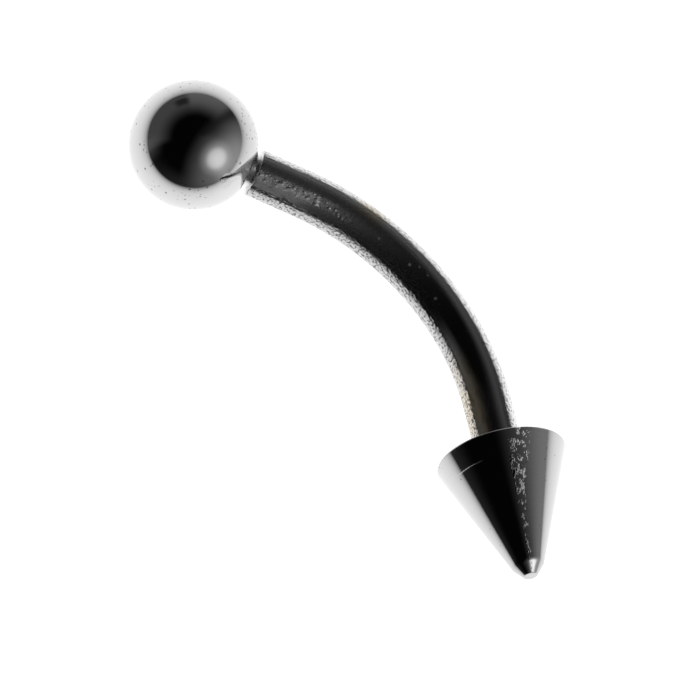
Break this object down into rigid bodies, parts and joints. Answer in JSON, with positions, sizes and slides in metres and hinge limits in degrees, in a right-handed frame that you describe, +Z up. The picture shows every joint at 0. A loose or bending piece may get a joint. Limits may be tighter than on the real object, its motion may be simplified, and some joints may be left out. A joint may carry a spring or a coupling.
{
  "type": "curved eyebrow barbell",
  "caption": "Curved barbell for an eyebrow piercing: a bent round bar with threaded posts, with a ball screwed onto one post and a spike onto the other.",
  "frame": {"origin": "on the surface that the barbell lies on, under the middle of its box", "axes": "+X along the barbell from the ball to the spike, +Y towards the outside of the bend, +Z up"},
  "size_m": [0.0152, 0.0044, 0.0032],
  "materials": {
    "bar_steel": "drawn and polished surgical steel with fine scratches and faint warm tints",
    "ball_steel": "mirror polished surgical steel",
    "spike_steel": "turned and polished surgical steel with faint turning lines and small pits"
  },
  "bodies": {
    "bar": {"bar": "bar_steel"},
    "ball": {"ball": "ball_steel"},
    "spike": {"spike": "spike_steel"}
  },
  "joints": [
    {"name": "ball_unscrew", "type": "slide", "parent": "bar", "child": "ball", "axis": [-0.8589, -0.4646, 0.2154], "range_m": [0, 0.003]},
    {"name": "spike_unscrew", "type": "slide", "parent": "bar", "child": "spike", "axis": [0.8457, -0.4646, 0.2626], "range_m": [0, 0.003]}
  ]
}
